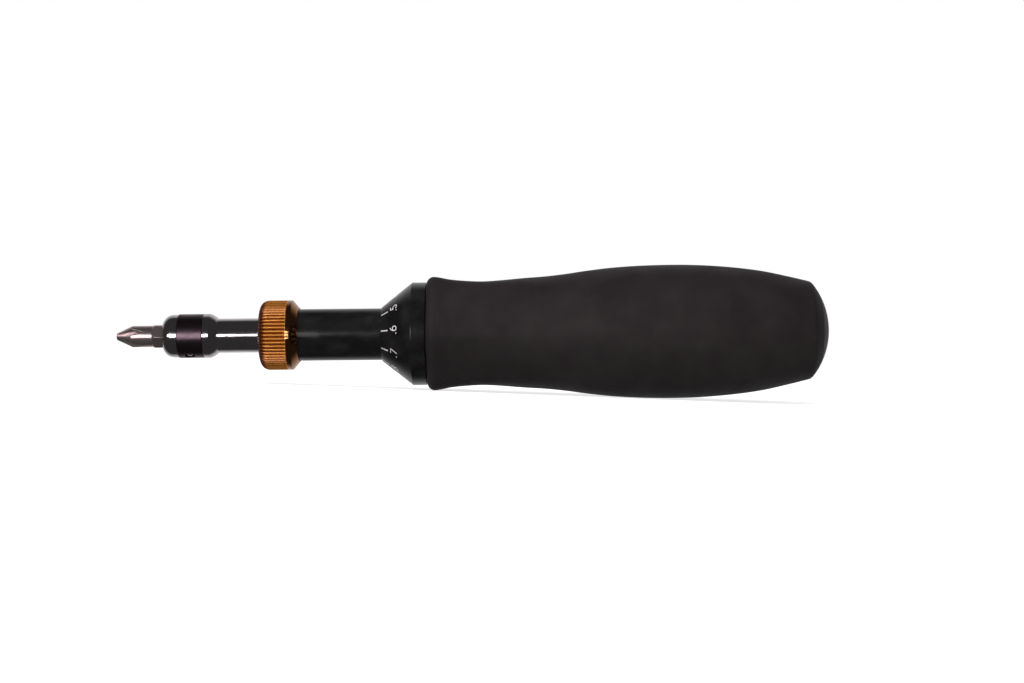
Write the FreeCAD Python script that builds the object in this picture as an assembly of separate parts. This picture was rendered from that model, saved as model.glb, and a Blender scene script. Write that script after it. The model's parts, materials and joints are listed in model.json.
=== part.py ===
import FreeCAD, Part
import math
import os

# Micrometer-adjustable torque screwdriver with a quick-change bit chuck.
# Millimetres. +X runs along the tool from the bit towards the handle's end, +Z is up,
# and the origin is the centre of the bit socket's mouth.
# Angles around the axis count from -Y towards -Z, which is the right-hand turn about +X.
#
# How it works: the grip turns the core, whose three keyways drive the clutch plate. The main
# spring presses the plate's balls against the cam disc on the output shaft, so the shaft slips
# at the set torque. Turning the handle on the barrel's thread moves the barrel, and with it
# the guide tube, cam disc and plate, against the spring. The knurled ring pinches three rollers
# between barrel and guide tube, which is keyed to the core, and so locks the setting.

# ---------------------------------------------------------------- driving dimensions

# clearances
RUN = 0.03                  # radial, between a shaft and its bush
SLIP = 0.05                 # radial or sideways, between keyed and sliding pieces
AIR = 0.15                  # between pieces that pass without guiding one another
GAP = 0.02                  # ball or roller to the face it bears on

# bit: Phillips no. 2 on a quarter-inch hexagon, 25 mm long
BIT_LENGTH = 25.0
BIT_PROUD = 13.74
HEX_FLATS = 6.35
HEX_PROUD = 3.2
HEX_CHAMFER = 0.9
HEX_TURN = 5.5              # degrees, where one corner of the hexagon points
SHANK_R = 3.1
POINT_LENGTH = 4.54
POINT_R = 0.95
FLUTE_RUN = 7.94            # from the tip to where the flutes run out
FLUTE_CORE_R = 0.62
FLUTE_WHEEL_R = 17.0
FLUTE_ANGLE = 84.0
FLUTE_TURN = -25.0
NOTCH_DEPTH = 0.66          # in the hexagon's corners, where the detent ball drops in

# output shaft and chuck
SOCKET_CLEAR = 0.05
SOCKET_DEEPER = 0.3
NOSE_FACE_R = 4.1
NOSE_LENGTH = 2.9
CHUCK_R = 6.25
FRONT_LAND = 1.6
BAND_WIDTH = 7.5
BAND_GROOVE_R = 5.65
BAND_WALL = 0.72
BAND_SPLIT = 1.6
COLLAR_R = 6.45
COLLAR_LENGTH = 1.7
COLLAR_ROUND = 2.4
SHAFT_R = 5.0
SHAFT_SHOWN = 12.3
JOURNAL_R = 4.0
TAIL_R = 3.25
BALL_R = 1.6
BALL_FROM_GROOVE = 3.4

# knurled locking ring and its rollers
RING_R = 10.15
RING_LENGTH = 11.4
RING_DOME = 2.6
RING_BAND = 1.4             # smooth band behind the ridges
RING_BEVEL = 1.9
RING_BEVEL_DROP = 2.35
RIDGES = 57
RIDGE_DEPTH = 0.45
ROLLER_R = 1.2
ROLLER_LENGTH = 6.0
ROLLERS = 3
ROLLER_TURN = 30.0
RAMP_TURN = 40.0
RAMP_RISE = 0.36
CLIP_WIDTH = 0.8
CLIP_REACH = 1.25
CLIP_OPENING = 70.0

# barrel and guide tube
BARREL_R = 7.55
BARREL_SHOWN = 24.1
BARREL_STEP = 0.55          # the nose under the ring is this much thinner in radius
NOSE_SET_BACK = 0.8         # barrel's nose behind the ring's front
GUIDE_R = 6.0
GUIDE_WALL = 0.9
GUIDE_SET_BACK = 0.4
BUSH_LENGTH = 8.0

# scale thimble: the engraved cone
CONE_FRONT_R = 8.0
CONE_R = 15.0
CONE_LENGTH = 9.0
CONE_BAND = 4.3
SPIGOT_LENGTH = 4.6

# core tube and what is inside it
CORE_R = 12.0
CORE_BORE_R = 9.6
CORE_LENGTH = 110.8
NUT_LENGTH = 9.2
KEYS = 3
KEY_WIDTH = 4.0
KEY_HEIGHT = 1.0
KEYWAY_RELIEF = 2.4
SETTING_DOWN = 4.2          # travel of the barrel to the lowest setting
SETTING_UP = 5.8            # and to the highest
STOP_GAP = 0.2
SLIDE_WASHER = 0.6
FLANGE = 3.0
THRUST_WASHER = 0.8
THRUST_BALL_R = 1.0
THRUST_BALLS = 12
THRUST_PITCH_R = 6.9
THRUST_CAGE = 1.0
CAM_DISC = 4.0
CAM_HUB_R = 5.0
CAM_HUB = 6.2
CAM_PIN_R = 1.0
CAM_POCKET_DEPTH = 0.7
CLUTCH_BALL_R = 1.75
CLUTCH_BALLS = 6
CLUTCH_PITCH_R = 7.2
CLUTCH_SPLIT = 0.8          # between the cam disc and the plate
CLUTCH_PLATE = 6.0
TAIL_PROUD = 1.0
SPRING_WIRE_R = 1.3
SPRING_R = 7.7
SPRING_TURNS = 9.0
SEAT = 4.0
SEAT_BOSS_R = 5.8
SEAT_BOSS = 3.0
SEAT_BALL_R = 3.0
SEAT_BALL_GAP = 3.0
SCREW_R = 5.0
SCREW_LENGTH = 14.4
SCREW_HEX = 5.0
SCREW_HEX_DEPTH = 5.0
PLUG_LENGTH = 9.0
PLUG_SET_BACK = 1.4
LOCK_NUT_FLATS = 16.0
LOCK_NUT = 3.4
NUT_TO_CAP = 1.06           # room between the lock nut and the end cap

# rubber grip and end cap
GRIP_JOINT = 0.1
GRIP_LIP = 2.2
END_DOME_R = 22.0
END_WALL = 6.1
END_EDGE = 2.6              # rounding between the side and the dome
END_R = 14.5                # what the side would measure at that edge
END_SIDE = 70.0             # degrees from the axis, where the side meets the rounding
CAP_R = 10.4
CAP_SPIGOT = 3.5
CAP_SPIGOT_WALL = 1.2
GRIP_CORNER = 0.34          # corner radius as a share of half the flats
GRIP_POINTS = 60            # round each section
# (from the grip's front, half the distance across the flats, 1 for six-sided to 0 for round)
GRIP_STATIONS = (
    (0.0, 16.35, 1.0),
    (2.6, 16.4, 1.0),
    (6.7, 15.7, 0.95),
    (11.6, 15.3, 0.85),
    (16.3, 15.15, 0.7),
    (21.5, 15.45, 0.48),
    (28.0, 16.0, 0.22),
    (34.5, 16.45, 0.06),
    (40.0, 17.05, 0.0),
    (46.0, 17.9, 0.0),
    (54.0, 18.8, 0.0),
    (64.0, 19.35, 0.0),
    (76.0, 19.4, 0.0),
    (87.0, 18.75, 0.0),
    (97.0, 17.5, 0.0),
    (105.0, 15.8, 0.0),
)

# ---------------------------------------------------------------- places along the axis

# chuck
bit_tip = -BIT_PROUD
bit_end = bit_tip + BIT_LENGTH
socket_end = bit_end + SOCKET_DEEPER
groove_front = NOSE_LENGTH + FRONT_LAND
groove_back = groove_front + BAND_WIDTH
collar_back = groove_back + COLLAR_LENGTH
shaft_front = collar_back + COLLAR_ROUND
ball_x = groove_front + BALL_FROM_GROOVE
ball_angle = HEX_TURN + 60.0
corner_r = HEX_FLATS / math.sqrt(3.0)
ball_lane_r = corner_r - NOTCH_DEPTH + GAP + BALL_R

# ring, barrel and guide tube
ring_front = shaft_front + SHAFT_SHOWN
ring_back = ring_front + RING_LENGTH
barrel_front = ring_front + NOSE_SET_BACK
barrel_nose_r = BARREL_R - BARREL_STEP
barrel_step = ring_back - 0.5
barrel_bore_r = GUIDE_R + RUN
guide_front = barrel_front + GUIDE_SET_BACK
guide_bore_r = GUIDE_R - GUIDE_WALL
clip_front = barrel_front + 0.9
clip_back = clip_front + CLIP_WIDTH
clip_groove_r = barrel_nose_r - 0.4
clip_r = clip_groove_r + CLIP_REACH
ring_recess_r = clip_r + AIR
roller_lane_r = GUIDE_R + GAP + ROLLER_R
roller_front = clip_back + 0.6
ramp_r = roller_lane_r + ROLLER_R + GAP

# thimble and core
cone_front = ring_back + BARREL_SHOWN
cone_back = cone_front + CONE_LENGTH
thimble_back = cone_back + CONE_BAND
spigot_back = thimble_back + SPIGOT_LENGTH
thimble_bore_r = BARREL_R + AIR
core_front = thimble_back
core_back = core_front + CORE_LENGTH
nut_back = spigot_back + NUT_LENGTH

# carrier: what moves along the core with the barrel
barrel_back = nut_back + STOP_GAP + SETTING_DOWN
flange_front = barrel_back + SLIDE_WASHER
flange_back = flange_front + FLANGE
key_r = CORE_BORE_R + KEY_HEIGHT
keyway_r = key_r + SLIP
race_back = flange_back + THRUST_WASHER
thrust_x = race_back + GAP + THRUST_BALL_R
cam_front = thrust_x + THRUST_BALL_R + GAP
cam_back = cam_front + CAM_DISC
hub_back = cam_back + CAM_HUB
tail_end = hub_back + TAIL_PROUD
clutch_ball_x = cam_back + GAP + CLUTCH_BALL_R
plate_front = cam_back + CLUTCH_SPLIT
plate_back = plate_front + CLUTCH_PLATE
disc_r = CORE_BORE_R - AIR
keyway_back = plate_back + SETTING_UP + STOP_GAP

# spring seat, calibration screw and rear end, set from the core's rear end
lock_nut_back = core_back - CAP_SPIGOT - NUT_TO_CAP
plug_back = lock_nut_back - LOCK_NUT
plug_front = plug_back - PLUG_LENGTH
screw_front = plug_front - PLUG_SET_BACK
screw_back = screw_front + SCREW_LENGTH
seat_back = screw_front - SEAT_BALL_GAP
seat_ball_x = (seat_back + screw_front) / 2.0
seat_front = seat_back - SEAT
spring_length = seat_front - plate_back
grip_front = core_front + GRIP_JOINT
end_apex = core_back + END_WALL
dome_centre = end_apex - END_DOME_R

ORIGIN = FreeCAD.Vector(0, 0, 0)
AXIS = FreeCAD.Vector(1, 0, 0)


# ---------------------------------------------------------------- helpers

def at(x, radius, angle=0.0):
    """Point at a radius and angle around the axis."""
    turn = math.radians(angle)
    return FreeCAD.Vector(x, -radius * math.cos(turn), -radius * math.sin(turn))


def turned(shape, angle):
    """Copy of a shape, turned about the tool's axis."""
    copy = shape.copy()
    copy.rotate(ORIGIN, AXIS, angle)
    return copy


def around(shape, count, first=0.0):
    """Copies of a shape spread evenly about the axis."""
    return [turned(shape, first + 360.0 * i / count) for i in range(count)]


class Section:
    """Closed half-section (x, radius) that is spun about the tool's axis."""

    def __init__(self, x, radius):
        self.first = at(x, radius)
        self.last = self.first
        self.edges = []

    def line(self, *points):
        for x, radius in points:
            there = at(x, radius)
            self.edges.append(Part.makeLine(self.last, there))
            self.last = there
        return self

    def arc(self, middle, end):
        there = at(*end)
        self.edges.append(Part.Arc(self.last, at(*middle), there).toShape())
        self.last = there
        return self

    def spun(self):
        if self.last.distanceToPoint(self.first) > 1e-6:
            self.edges.append(Part.makeLine(self.last, self.first))
        face = Part.Face(Part.Wire(self.edges))
        return face.revolve(ORIGIN, AXIS, 360)


def tube(front, back, outer, inner=0.0):
    """Plain round bar, or a tube where inner is given."""
    return Section(front, inner).line((back, inner), (back, outer), (front, outer)).spun()


def edged_tube(front, back, outer, inner, edge):
    """Tube with its outer edges broken by a chamfer."""
    section = Section(front, inner).line((back, inner), (back, outer - edge))
    return section.line((back - edge, outer), (front + edge, outer), (front, outer - edge)).spun()


def hexagon(front, back, flats, angle=0.0):
    """Hexagonal bar with a corner at the given angle."""
    corner = flats / math.sqrt(3.0)
    points = [at(front, corner, angle + 60.0 * i) for i in range(7)]
    return Part.Face(Part.makePolygon(points)).extrude(FreeCAD.Vector(back - front, 0, 0))


def ball(x, lane, radius, angle=0.0):
    """Sphere with its centre at a place around the axis."""
    return Part.makeSphere(radius, at(x, lane, angle))


def radial_bar(x, inner, outer, radius, angle):
    """Round bar that points straight out from the axis."""
    start = at(x, inner, angle)
    return Part.makeCylinder(radius, outer - inner, start, at(0, 1, angle))


def key(front, back, inner, outer, width):
    """Bar along the axis at angle 0, from an inner to an outer radius."""
    corner = FreeCAD.Vector(front, -outer, -width / 2.0)
    return Part.makeBox(back - front, outer - inner, width, corner)


# ---------------------------------------------------------------- bit and chuck

def phillips_bit():
    """Hexagon insert bit: round shank, cross point with four ground flutes, corner notches."""
    hex_front = -HEX_PROUD
    blank = Section(bit_tip, 0).line(
        (bit_tip, POINT_R), (bit_tip + POINT_LENGTH, SHANK_R), (hex_front, SHANK_R),
        (hex_front, 0)).spun()
    envelope = Section(hex_front, 0).line(
        (hex_front, SHANK_R), (hex_front + HEX_CHAMFER, corner_r + GAP),
        (bit_end - HEX_CHAMFER, corner_r + GAP), (bit_end, SHANK_R), (bit_end, 0)).spun()
    shape = blank.fuse(hexagon(hex_front, bit_end, HEX_FLATS, HEX_TURN).common(envelope))
    shape = shape.cut([turned(flute_wheel(), FLUTE_TURN + 90.0 * i) for i in range(4)])
    notch = Part.makeTorus(ball_lane_r, BALL_R + GAP, FreeCAD.Vector(ball_x, 0, 0), AXIS)
    return shape.cut(notch).removeSplitter()


def flute_wheel():
    """Rim of the grinding wheel that cuts one flute, towards -Y."""
    rise = SHANK_R - FLUTE_CORE_R
    chord = math.hypot(FLUTE_RUN, rise)
    reach = math.sqrt(FLUTE_WHEEL_R ** 2 - chord ** 2 / 4.0)
    wheel_x = bit_tip + FLUTE_RUN / 2.0 - reach * rise / chord
    hub = (FLUTE_CORE_R + SHANK_R) / 2.0 + reach * FLUTE_RUN / chord
    rim_depth = SHANK_R * 1.6
    half_width = rim_depth * math.tan(math.radians(FLUTE_ANGLE / 2.0))
    rim = [
        FreeCAD.Vector(wheel_x, -hub + FLUTE_WHEEL_R, 0),
        FreeCAD.Vector(wheel_x, -hub + FLUTE_WHEEL_R - rim_depth, half_width),
        FreeCAD.Vector(wheel_x, -hub + FLUTE_WHEEL_R - rim_depth, -half_width),
    ]
    face = Part.Face(Part.makePolygon(rim + rim[:1]))
    return face.revolve(FreeCAD.Vector(wheel_x, -hub, 0), FreeCAD.Vector(0, 0, 1), 360)


def output_shaft():
    """Chuck body, shaft and journal in one turned piece, with the hexagon socket."""
    middle_x = NOSE_LENGTH * 0.36
    middle_r = NOSE_FACE_R + (CHUCK_R - NOSE_FACE_R) * 0.68
    section = Section(0, 0).line((0, NOSE_FACE_R))
    section.arc((middle_x, middle_r), (NOSE_LENGTH, CHUCK_R))
    section.line(
        (groove_front, CHUCK_R), (groove_front, BAND_GROOVE_R), (groove_back, BAND_GROOVE_R),
        (groove_back, COLLAR_R), (collar_back, COLLAR_R))
    section.arc(
        (collar_back + COLLAR_ROUND * 0.54, SHAFT_R + (COLLAR_R - SHAFT_R) * 0.58),
        (shaft_front, SHAFT_R))
    section.line(
        (guide_front - GUIDE_SET_BACK, SHAFT_R), (guide_front - GUIDE_SET_BACK, JOURNAL_R),
        (cam_front, JOURNAL_R), (cam_front, TAIL_R), (tail_end - 0.4, TAIL_R),
        (tail_end, TAIL_R - 0.4), (tail_end, 0))
    socket = hexagon(-1.0, socket_end, HEX_FLATS + 2 * SOCKET_CLEAR, HEX_TURN)
    mouth = Part.makeCone(corner_r + 0.55, corner_r - 0.25, 0.8, ORIGIN, AXIS)
    ball_hole = radial_bar(ball_x, 0, CHUCK_R + 1.0, BALL_R + SLIP, ball_angle)
    return section.spun().cut([socket, mouth, ball_hole, cam_pin()])


def retaining_band():
    """Split spring band in the chuck's groove; its hole sits over the detent ball."""
    inner = BAND_GROOVE_R + RUN
    outer = inner + BAND_WALL
    shape = edged_tube(groove_front + SLIP, groove_back - SLIP, outer, inner, 0.15)
    split = turned(key(groove_front - 1, groove_back + 1, 0, outer + 1, BAND_SPLIT), ball_angle + 180)
    meeting = (inner ** 2 + ball_lane_r ** 2 - BALL_R ** 2) / (2 * ball_lane_r)
    hole_r = math.sqrt(inner ** 2 - meeting ** 2) + SLIP
    hole = radial_bar(ball_x, inner - 1.0, outer + 1.0, hole_r, ball_angle)
    sink = Part.makeCone(
        hole_r - 0.1, hole_r + 0.3, 0.4, at(ball_x, outer - 0.3, ball_angle), at(0, 1, ball_angle))
    return shape.cut([split, hole, sink])


def retaining_ball():
    """Detent ball that drops into the bit's corner notch."""
    return ball(ball_x, ball_lane_r, BALL_R, ball_angle)


# ---------------------------------------------------------------- locking ring

def ring_ridges():
    """Knurled outside of the ring: star-shaped sections lofted over the domed front."""
    stations = []
    for share in (0.0, 0.3, 0.6, 0.82, 1.0):
        sweep = math.radians(90.0 * share)
        x = ring_front + RING_DOME * (1.0 - math.sin(sweep))
        radius = RING_R - RING_DOME * (1.0 - math.cos(sweep))
        stations.insert(0, (x, radius))
    ridge_end = ring_back - RING_BEVEL - RING_BAND
    stations.append((ridge_end, RING_R))
    wires = []
    step = 180.0 / RIDGES
    for x, radius in stations:
        points = [at(x, radius - RIDGE_DEPTH * (i % 2), step * i) for i in range(2 * RIDGES)]
        wires.append(Part.makePolygon(points + points[:1]))
    return Part.makeLoft(wires, True, True)


def ring_ramp():
    """Pocket for one roller; its outer wall closes in by the ramp's rise towards the lock."""
    front = clip_back - 0.5
    back = roller_front + ROLLER_LENGTH + 0.3
    low = math.degrees(math.asin((ROLLER_R + SLIP) / roller_lane_r)) + 0.6
    inner_r = barrel_nose_r - 0.6
    end_turn = RAMP_TURN + low
    corner = at(front, inner_r, -low)
    start = at(front, ramp_r, -low)
    locked = at(front, ramp_r + 0.02, 0)
    finish = at(front, ramp_r + RAMP_RISE, end_turn)
    far = at(front, inner_r, end_turn)
    edges = [
        Part.makeLine(corner, start),
        Part.Arc(start, locked, at(front, ramp_r + 0.05, low)).toShape(),
        Part.Arc(
            at(front, ramp_r + 0.05, low),
            at(front, ramp_r + 0.05 + (RAMP_RISE - 0.05) * 0.5, (low + end_turn) / 2.0),
            finish).toShape(),
        Part.makeLine(finish, far),
        Part.makeLine(far, corner),
    ]
    return Part.Face(Part.Wire(edges)).extrude(FreeCAD.Vector(back - front, 0, 0))


def lock_ring():
    """Knurled ring that turns on the barrel's nose and locks the setting."""
    ridge_end = ring_back - RING_BEVEL - RING_BAND
    rear = Section(ridge_end, 0).line(
        (ridge_end, RING_R), (ring_back - RING_BEVEL, RING_R),
        (ring_back, RING_R - RING_BEVEL_DROP), (ring_back, 0)).spun()
    recess = tube(ring_front - 1.0, clip_back, ring_recess_r)
    bore = tube(ring_front - 1.0, ring_back + 1.0, barrel_nose_r + RUN)
    seat = tube(barrel_step, ring_back + 1.0, BARREL_R + AIR)
    shape = ring_ridges().fuse(rear)
    return shape.cut([recess, bore, seat] + around(ring_ramp(), ROLLERS, ROLLER_TURN))


def lock_rollers():
    """Rollers in the barrel's windows, pinched by the ring's ramps."""
    roller = Part.makeCylinder(ROLLER_R, ROLLER_LENGTH, at(roller_front, roller_lane_r), AXIS)
    return Part.makeCompound(around(roller, ROLLERS, ROLLER_TURN))


def nose_circlip():
    """Open clip in the barrel's groove that keeps the ring on."""
    ring = tube(clip_front, clip_back, clip_r, clip_groove_r)
    points = [
        at(clip_front - 1, 0),
        at(clip_front - 1, 3 * clip_r, -CLIP_OPENING / 2),
        at(clip_front - 1, 3 * clip_r, CLIP_OPENING / 2),
    ]
    wedge = Part.Face(Part.makePolygon(points + points[:1]))
    opening = wedge.extrude(FreeCAD.Vector(CLIP_WIDTH + 2, 0, 0))
    return ring.cut(turned(opening, 180.0))


# ---------------------------------------------------------------- barrel and carrier

def barrel():
    """Scale barrel: a long tube that screws into the handle, windowed at its nose."""
    section = Section(barrel_front, barrel_bore_r).line(
        (barrel_front, barrel_nose_r - 0.2), (barrel_front + 0.2, barrel_nose_r),
        (clip_front, barrel_nose_r), (clip_front, clip_groove_r), (clip_back, clip_groove_r),
        (clip_back, barrel_nose_r), (barrel_step, barrel_nose_r), (barrel_step, BARREL_R),
        (barrel_back, BARREL_R), (barrel_back, barrel_bore_r))
    window = key(
        roller_front - SLIP, roller_front + ROLLER_LENGTH + SLIP, 1.0, BARREL_R + 1.0,
        2 * (ROLLER_R + SLIP))
    return section.spun().cut(around(window, ROLLERS, ROLLER_TURN))


def slide_washer():
    """Bronze washer between the turning barrel and the guide tube's flange."""
    return tube(barrel_back, flange_front, BARREL_R, barrel_bore_r + AIR)


def guide_tube():
    """Tube inside the barrel, with a rear flange whose keys slide in the core's keyways."""
    stem = tube(guide_front, flange_front, GUIDE_R, guide_bore_r)
    flange = tube(flange_front, flange_back, disc_r, guide_bore_r)
    tongue = key(flange_front, flange_back, disc_r - 2.0, key_r, KEY_WIDTH - 2 * SLIP)
    return stem.fuse([flange] + around(tongue, KEYS)).removeSplitter()


def bush(front):
    """Plain bronze bearing pressed into the guide tube."""
    return tube(front, front + BUSH_LENGTH, guide_bore_r, JOURNAL_R + RUN)


def thrust_washer():
    """Hardened race on the guide flange."""
    return tube(flange_back, race_back, disc_r - 0.6, JOURNAL_R + AIR)


def thrust_cage():
    """Brass ring that spaces the thrust balls."""
    half = THRUST_CAGE / 2.0
    outer = THRUST_PITCH_R + THRUST_BALL_R + 0.9
    inner = THRUST_PITCH_R - THRUST_BALL_R - 0.9
    ring = tube(thrust_x - half, thrust_x + half, outer, inner)
    start = at(thrust_x - 1.0, THRUST_PITCH_R)
    hole = Part.makeCylinder(THRUST_BALL_R + SLIP, 2.0, start, AXIS)
    return ring.cut(around(hole, THRUST_BALLS))


def thrust_balls():
    """Balls between the race and the cam disc."""
    one = ball(thrust_x, THRUST_PITCH_R, THRUST_BALL_R)
    return Part.makeCompound(around(one, THRUST_BALLS))


def cam_disc():
    """Disc with ball pockets in its rear face and a hub pinned on the shaft's tail."""
    disc = edged_tube(cam_front, cam_back, disc_r, TAIL_R, 0.4)
    hub = tube(cam_back, hub_back, CAM_HUB_R, TAIL_R)
    pocket_r = CLUTCH_BALL_R * 1.12
    pocket = ball(cam_back + pocket_r - CAM_POCKET_DEPTH, CLUTCH_PITCH_R, pocket_r)
    pockets = around(pocket, CLUTCH_BALLS, 180.0 / CLUTCH_BALLS)
    return disc.fuse(hub).cut(pockets + [cam_pin()])


def cam_pin():
    """Cross pin through the hub and the shaft's tail."""
    x = (cam_back + hub_back) / 2.0
    half = CAM_HUB_R - 0.3
    return Part.makeCylinder(CAM_PIN_R, 2 * half, at(x, half, 0), FreeCAD.Vector(0, 1, 0))


def clutch_plate():
    """Keyed plate that carries the clutch balls in front and the spring behind."""
    plate = tube(plate_front, plate_back, disc_r, CAM_HUB_R + RUN)
    tongue = key(plate_front, plate_back, disc_r - 2.0, key_r, KEY_WIDTH - 2 * SLIP)
    seat = ball(clutch_ball_x, CLUTCH_PITCH_R, CLUTCH_BALL_R + GAP)
    shape = plate.fuse(around(tongue, KEYS)).removeSplitter()
    return shape.cut(around(seat, CLUTCH_BALLS))


def clutch_balls():
    """Balls held in the plate, drawn on the cam disc's lands, as in the instant it slips."""
    one = ball(clutch_ball_x, CLUTCH_PITCH_R, CLUTCH_BALL_R)
    return Part.makeCompound(around(one, CLUTCH_BALLS))


# ---------------------------------------------------------------- handle

def main_spring():
    """Compression spring of round wire, its ends ground flat."""
    overrun = SPRING_WIRE_R
    length = spring_length + 2 * overrun
    pitch = length / SPRING_TURNS
    path = Part.makeHelix(pitch, length, SPRING_R)
    circle = Part.makeCircle(SPRING_WIRE_R, FreeCAD.Vector(SPRING_R, 0, 0), FreeCAD.Vector(0, 1, 0))
    coil = Part.Wire(path).makePipeShell([Part.Wire(circle)], True, True)
    coil.rotate(ORIGIN, FreeCAD.Vector(0, 1, 0), 90)
    coil.translate(FreeCAD.Vector(plate_back - overrun, 0, 0))
    return coil.common(tube(plate_back, seat_front, SPRING_R + 2 * SPRING_WIRE_R))


def spring_seat():
    """Rear spring seat, centred on the ball of the calibration screw."""
    body = edged_tube(seat_front, seat_back, CORE_BORE_R - AIR, 0, 0.4)
    boss = tube(seat_front - SEAT_BOSS, seat_front, SEAT_BOSS_R)
    return body.fuse(boss).removeSplitter().cut(ball(seat_ball_x, 0, SEAT_BALL_R + GAP))


def seat_ball():
    """Ball that lets the seat settle square on the screw."""
    return ball(seat_ball_x, 0, SEAT_BALL_R)


def calibration_screw():
    """Screw that sets the spring's preload, with a hexagon socket behind."""
    body = edged_tube(screw_front, screw_back, SCREW_R, 0, 0.6)
    socket = hexagon(screw_back - SCREW_HEX_DEPTH, screw_back + 1.0, SCREW_HEX)
    return body.cut([ball(seat_ball_x, 0, SEAT_BALL_R + GAP), socket])


def rear_plug():
    """Threaded plug in the core's rear that carries the calibration screw."""
    body = edged_tube(plug_front, plug_back, CORE_BORE_R, SCREW_R, 0.4)
    hole_lane = (CORE_BORE_R + SCREW_R) / 2.0
    hole = Part.makeCylinder(1.0, 4.0, at(plug_back - 3.0, hole_lane), AXIS)
    return body.cut(around(hole, 2, 90.0))


def lock_nut():
    """Thin nut that locks the calibration screw."""
    nut = hexagon(plug_back, lock_nut_back, LOCK_NUT_FLATS)
    corner = LOCK_NUT_FLATS / math.sqrt(3.0)
    shape = nut.common(edged_tube(plug_back, lock_nut_back, corner + 0.1, 0, 0.7))
    return shape.cut(tube(plug_back - 1.0, lock_nut_back + 1.0, SCREW_R))


def handle_core():
    """Aluminium tube under the grip, with three keyways that end in a relief groove."""
    body = tube(core_front, core_back, CORE_R, CORE_BORE_R)
    keyway = key(nut_back, keyway_back, CORE_BORE_R - 1.0, keyway_r, KEY_WIDTH)
    relief = tube(keyway_back, keyway_back + KEYWAY_RELIEF, keyway_r)
    return body.cut(around(keyway, KEYS) + [relief])


def setting_nut():
    """Bronze nut pressed into the core, in which the barrel's thread turns."""
    return tube(spigot_back, nut_back, CORE_BORE_R, BARREL_R + RUN)


def scale_thimble():
    """Cone with the tenths scale; its spigot is pressed into the core."""
    section = Section(cone_front, thimble_bore_r).line(
        (cone_front, CONE_FRONT_R - 0.15), (cone_front + 0.15, CONE_FRONT_R),
        (cone_back, CONE_R), (thimble_back - 0.3, CONE_R), (thimble_back, CONE_R - 0.3),
        (thimble_back, CORE_BORE_R), (spigot_back, CORE_BORE_R), (spigot_back, thimble_bore_r))
    return section.spun()


def grip_radius(half_flats, sixness, angle):
    """Radius of a grip section: a round-cornered hexagon, blended towards a circle."""
    corner = half_flats * GRIP_CORNER
    lane = (half_flats - corner) / math.cos(math.radians(30.0))
    off = math.radians(abs((angle + 30.0) % 60.0 - 30.0))
    tangent = math.atan2(corner * 0.5, lane + corner * math.cos(math.radians(30.0)))
    if off < tangent:
        hexagonal = lane * math.cos(off) + math.sqrt(corner ** 2 - (lane * math.sin(off)) ** 2)
    else:
        hexagonal = half_flats / math.cos(math.radians(30.0) - off)
    return half_flats + (hexagonal - half_flats) * sixness


def grip_section(x, half_flats, sixness):
    """Closed curve across the grip, a corner to each side and a flat above and below."""
    angles = [360.0 * i / GRIP_POINTS for i in range(GRIP_POINTS)]
    curve = Part.BSplineCurve()
    curve.interpolate(
        [at(x, grip_radius(half_flats, sixness, angle), angle) for angle in angles],
        PeriodicFlag=True)
    return Part.Wire(curve.toShape())


def edges_between(shape, front, back):
    """Edges that lie wholly in one stretch of the axis."""
    boxes = [(edge, edge.BoundBox) for edge in shape.Edges]
    return [edge for edge, box in boxes if box.XMin > front and box.XMax < back]


def dome_x(radius):
    """Place of the domed rear surface at a radius."""
    return dome_centre + math.sqrt(END_DOME_R ** 2 - radius ** 2)


def rear_stations():
    """Places and radii round the rear edge and on over the dome, as far as the cap."""
    lane = END_R - END_EDGE
    inner = END_DOME_R - END_EDGE
    x = dome_centre + math.sqrt(inner ** 2 - lane ** 2)
    dome_side = math.degrees(math.asin(lane / inner))
    stations = []
    for share in (0.0, 0.35, 0.7, 1.0):
        turn = math.radians(END_SIDE + (dome_side - END_SIDE) * share)
        stations.append((x + END_EDGE * math.cos(turn), lane + END_EDGE * math.sin(turn)))
    edge_r = stations[-1][1]
    stations += [(dome_x(r), r) for r in ((edge_r + CAP_R) / 2.0, CAP_R)]
    return stations


def grip():
    """Moulded rubber grip: six-sided in front, round in the palm, closed by a domed end."""
    wires = [grip_section(grip_front + s, half, sixness) for s, half, sixness in GRIP_STATIONS]
    wires += [grip_section(x, half, 0.0) for x, half in rear_stations()]
    body = Part.makeLoft(wires, True, False)
    body = body.makeFillet(GRIP_LIP, edges_between(body, grip_front - 1.0, grip_front + 0.01))
    body = body.cut(tube(grip_front - 1.0, core_back, CORE_R))
    return body.cut(tube(core_back - 1.0, end_apex + 1.0, CAP_R + AIR))


def domed_disc(front, radius):
    """Round disc whose rear face is the domed end."""
    section = Section(front, 0).line((front, radius), (dome_x(radius), radius))
    return section.arc((dome_x(radius / 2.0), radius / 2.0), (end_apex, 0)).spun()


def end_cap():
    """Snap-in cap over the calibration screw, flush with the grip's domed end."""
    disc = domed_disc(core_back, CAP_R)
    spigot_front = core_back - CAP_SPIGOT
    spigot_r = CORE_BORE_R - SLIP
    spigot = tube(spigot_front, core_back, spigot_r, spigot_r - CAP_SPIGOT_WALL)
    return disc.fuse(spigot).removeSplitter()


# ---------------------------------------------------------------- build

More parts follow.
